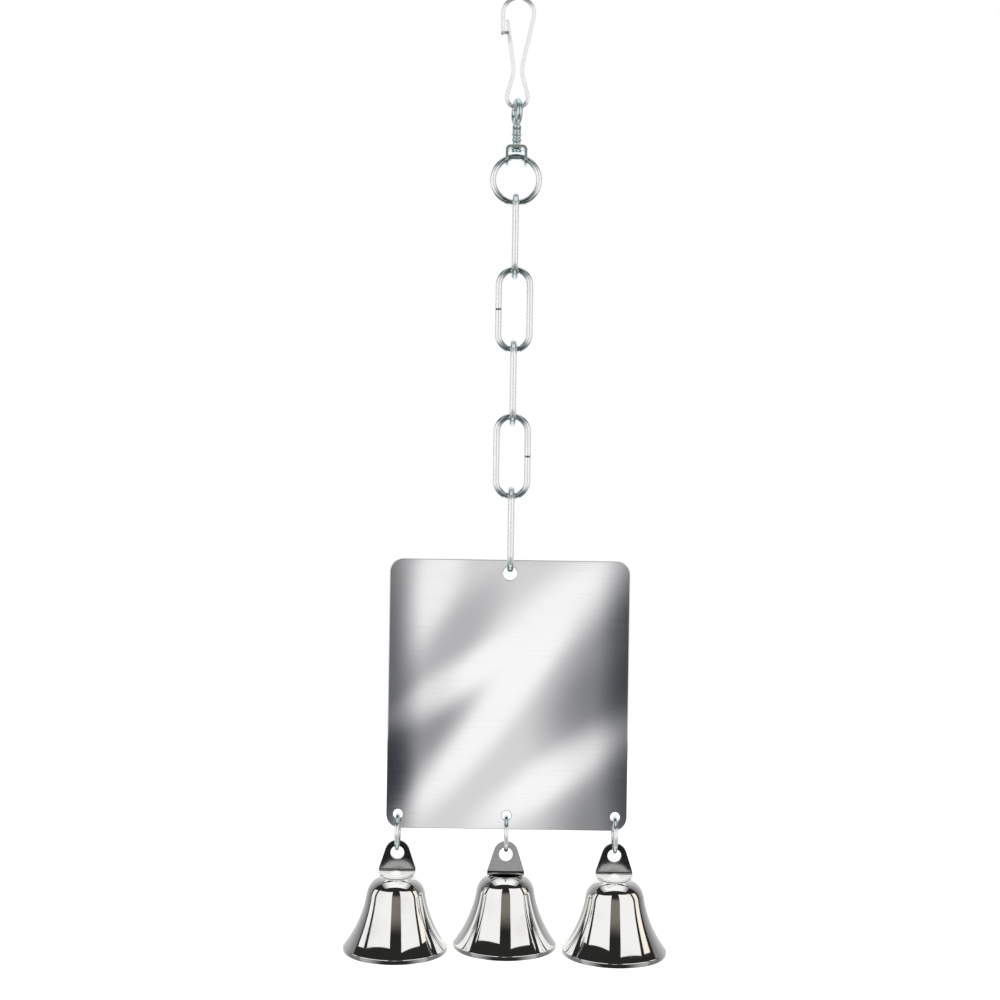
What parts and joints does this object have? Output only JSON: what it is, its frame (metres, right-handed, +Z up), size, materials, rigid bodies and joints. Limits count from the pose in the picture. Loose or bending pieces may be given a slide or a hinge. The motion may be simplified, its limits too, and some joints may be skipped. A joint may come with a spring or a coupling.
{
  "type": "hanging bird mirror with bells",
  "caption": "Flat polished steel bird mirror that hangs from a snap hook, a swivel and a chain of oblong links, with small chrome bells on rings along its lower edge.",
  "frame": {"origin": "inside top of the hook's large loop, where it rests on a cage bar", "axes": "+Z up along the hanging chain, +X to the right across the mirror, -Y out of the face that is seen"},
  "size_m": [0.08, 0.0302, 0.238],
  "materials": {
    "spring_wire": "bright nickel-plated spring wire",
    "swivel_plating": "bright nickel-plated steel",
    "chain_plating": "bright nickel-plated steel wire",
    "mirror_steel": "polished sheet steel with fine level brushing",
    "bell_chrome": "bright chrome-plated pressed steel",
    "clapper_steel": "plain steel"
  },
  "bodies": {
    "hook": {"hook_body": "spring_wire"},
    "spring_leg": {"hook_spring_leg": "spring_wire"},
    "eye": {"swivel_eye": "swivel_plating"},
    "yoke": {"swivel_yoke": "swivel_plating"},
    "ring": {"swivel_ring": "swivel_plating"},
    "link_1": {"chain_link_1": "chain_plating"},
    "link_2": {"chain_link_2": "chain_plating"},
    "link_3": {"chain_link_3": "chain_plating"},
    "link_4": {"chain_link_4": "chain_plating"},
    "link_5": {"chain_link_5": "chain_plating"},
    "mirror": {"mirror_plate": "mirror_steel"},
    "left_ring": {"bell_ring_left": "chain_plating"},
    "left_bell": {"bell_shell_left": "bell_chrome", "bell_hanger_left": "bell_chrome", "bell_rivet_left": "bell_chrome"},
    "left_clapper": {"clapper_wire_left": "clapper_steel", "clapper_ball_left": "clapper_steel"},
    "middle_ring": {"bell_ring_middle": "chain_plating"},
    "middle_bell": {"bell_shell_middle": "bell_chrome", "bell_hanger_middle": "bell_chrome", "bell_rivet_middle": "bell_chrome"},
    "middle_clapper": {"clapper_wire_middle": "clapper_steel", "clapper_ball_middle": "clapper_steel"},
    "right_ring": {"bell_ring_right": "chain_plating"},
    "right_bell": {"bell_shell_right": "bell_chrome", "bell_hanger_right": "bell_chrome", "bell_rivet_right": "bell_chrome"},
    "right_clapper": {"clapper_wire_right": "clapper_steel", "clapper_ball_right": "clapper_steel"}
  },
  "joints": [
    {"name": "leg_squeeze", "type": "hinge", "parent": "hook", "child": "spring_leg", "pos_m": [0, 0, -0.0264], "axis": [0, 1, 0], "range_deg": [0, 6], "stiffness_Nm_per_rad": 0.6},
    {"name": "eye_swing", "type": "hinge", "parent": "hook", "child": "eye", "pos_m": [0, 0, -0.0269], "axis": [1, 0, 0], "range_deg": [-60, 60]},
    {"name": "yoke_spin", "type": "hinge", "parent": "eye", "child": "yoke", "pos_m": [0, 0, -0.03658], "axis": [0, 0, 1], "continuous": true},
    {"name": "ring_swing", "type": "hinge", "parent": "yoke", "child": "ring", "pos_m": [0, 0, -0.03973], "axis": [-1, 0, 0], "range_deg": [-70, 70]},
    {"name": "link_1_swing", "type": "hinge", "parent": "ring", "child": "link_1", "pos_m": [0, 0, -0.05073], "axis": [1, 0, 0], "range_deg": [-70, 70]},
    {"name": "link_2_swing", "type": "hinge", "parent": "link_1", "child": "link_2", "pos_m": [0, 0, -0.06911], "axis": [0, 1, 0], "range_deg": [-70, 70]},
    {"name": "link_3_swing", "type": "hinge", "parent": "link_2", "child": "link_3", "pos_m": [0, 0, -0.08744], "axis": [-1, 0, 0], "range_deg": [-70, 70]},
    {"name": "link_4_swing", "type": "hinge", "parent": "link_3", "child": "link_4", "pos_m": [0, 0, -0.10577], "axis": [0, -1, 0], "range_deg": [-70, 70]},
    {"name": "link_5_swing", "type": "hinge", "parent": "link_4", "child": "link_5", "pos_m": [0, 0, -0.1241], "axis": [1, 0, 0], "range_deg": [-70, 70]},
    {"name": "mirror_swing", "type": "hinge", "parent": "link_5", "child": "mirror", "pos_m": [0, 0, -0.14243], "axis": [0, 1, 0], "range_deg": [-45, 45]},
    {"name": "left_ring_swing", "type": "hinge", "parent": "mirror", "child": "left_ring", "pos_m": [-0.0271, 0, -0.20606], "axis": [-1, 0, 0], "range_deg": [-60, 60]},
    {"name": "left_bell_swing", "type": "hinge", "parent": "left_ring", "child": "left_bell", "pos_m": [-0.0271, 0, -0.21237], "axis": [0, 1, 0], "range_deg": [-3, 50]},
    {"name": "left_clapper_swing", "type": "hinge", "parent": "left_bell", "child": "left_clapper", "pos_m": [-0.0271, -0.00216, -0.22222], "axis": [0, 1, 0], "range_deg": [-37, 37]},
    {"name": "middle_ring_swing", "type": "hinge", "parent": "mirror", "child": "middle_ring", "pos_m": [0, 0, -0.20606], "axis": [-1, 0, 0], "range_deg": [-60, 60]},
    {"name": "middle_bell_swing", "type": "hinge", "parent": "middle_ring", "child": "middle_bell", "pos_m": [0, 0, -0.21237], "axis": [0, 1, 0], "range_deg": [-3, 3]},
    {"name": "middle_clapper_swing", "type": "hinge", "parent": "middle_bell", "child": "middle_clapper", "pos_m": [0, 0.00216, -0.22222], "axis": [0, 1, 0], "range_deg": [-37, 37]},
    {"name": "right_ring_swing", "type": "hinge", "parent": "mirror", "child": "right_ring", "pos_m": [0.0271, 0, -0.20606], "axis": [-1, 0, 0], "range_deg": [-60, 60]},
    {"name": "right_bell_swing", "type": "hinge", "parent": "right_ring", "child": "right_bell", "pos_m": [0.0271, 0, -0.21237], "axis": [0, 1, 0], "range_deg": [-50, 3]},
    {"name": "right_clapper_swing", "type": "hinge", "parent": "right_bell", "child": "right_clapper", "pos_m": [0.0271, -0.00216, -0.22222], "axis": [0, 1, 0], "range_deg": [-37, 37]}
  ]
}
